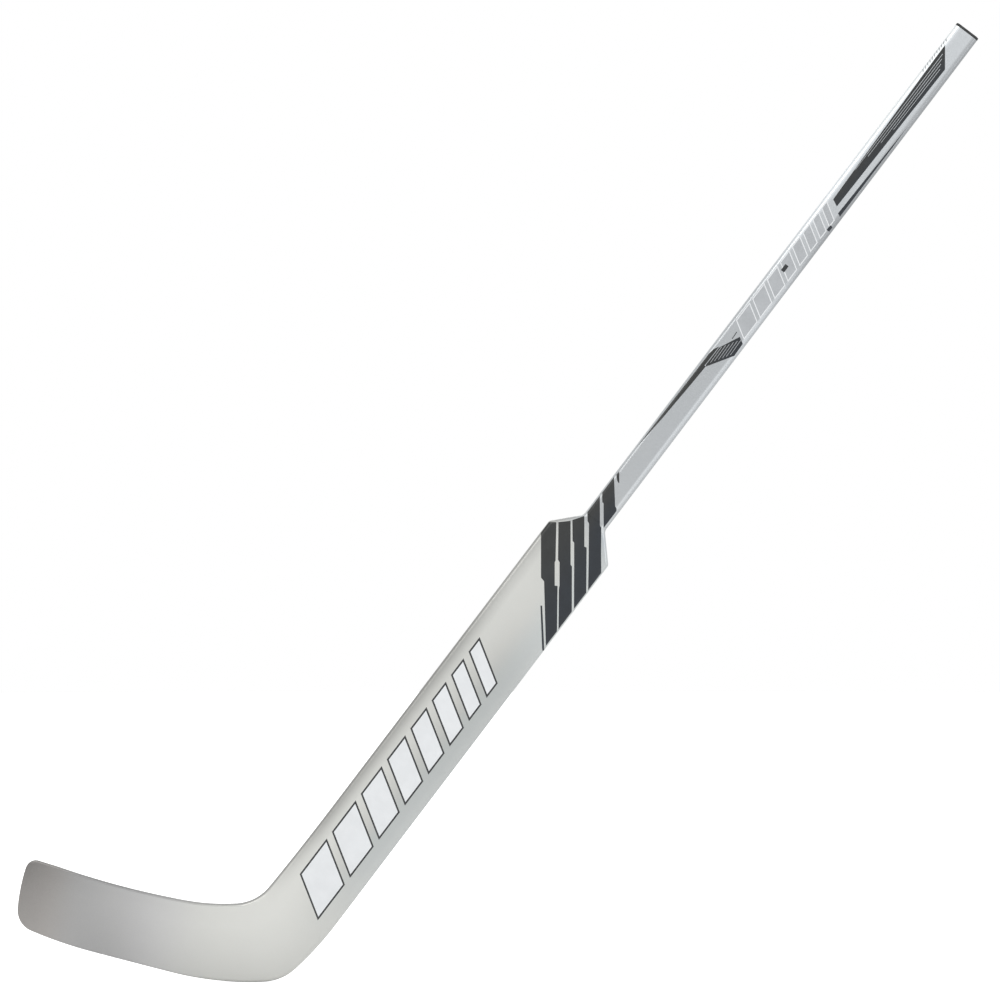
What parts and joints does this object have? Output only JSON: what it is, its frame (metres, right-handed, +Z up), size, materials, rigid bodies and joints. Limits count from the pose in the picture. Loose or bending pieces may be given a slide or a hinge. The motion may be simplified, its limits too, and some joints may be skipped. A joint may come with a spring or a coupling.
{
  "type": "goalkeeper ice hockey stick",
  "caption": "Leaning goalkeeper's stick: rectangular hollow shaft, stepped shoulders, wide flat paddle, tall blade with a rounded heel and a gently curved toe.",
  "frame": {"origin": "on the shaft's axis at the neck, where the paddle's shoulders meet the shaft and the upper hand grips", "axes": "+Z up; the stick stands in the XZ plane with the shaft leaning 52.8 degrees above +X and the toe towards -X; -Y is the front face, +Y the back"},
  "size_m": [1.1534, 0.0284, 1.15],
  "materials": {
    "silver_lacquer": "satin silver metallic lacquer with dark printed blocks, over fibre laminate",
    "cap_plastic": "moulded black plastic, fine grain",
    "core_foam": "closed-cell core foam",
    "fibre_laminate": "carbon and glass fibre laminate, unpainted",
    "dense_filler": "dense filled resin",
    "tough_insert": "tough moulded insert"
  },
  "bodies": {
    "root": {"shaft_tube": "silver_lacquer", "end_cap": "cap_plastic", "tenon_plug": "core_foam", "paddle_front_shell": "silver_lacquer", "paddle_back_shell": "silver_lacquer", "blade_front_shell": "silver_lacquer", "blade_back_shell": "silver_lacquer", "paddle_upper_rib": "fibre_laminate", "paddle_lower_rib": "fibre_laminate", "paddle_upper_core": "core_foam", "paddle_centre_core": "core_foam", "paddle_lower_core": "core_foam", "paddle_upper_edge_strip": "fibre_laminate", "paddle_lower_edge_strip": "fibre_laminate", "shoulder_upper_block": "dense_filler", "shoulder_lower_block": "dense_filler", "heel_block": "tough_insert", "blade_upper_core": "core_foam", "blade_lower_core": "core_foam", "blade_bridge": "fibre_laminate", "blade_top_strip": "fibre_laminate", "blade_sole_strip": "fibre_laminate", "toe_insert": "tough_insert"}
  },
  "joints": []
}
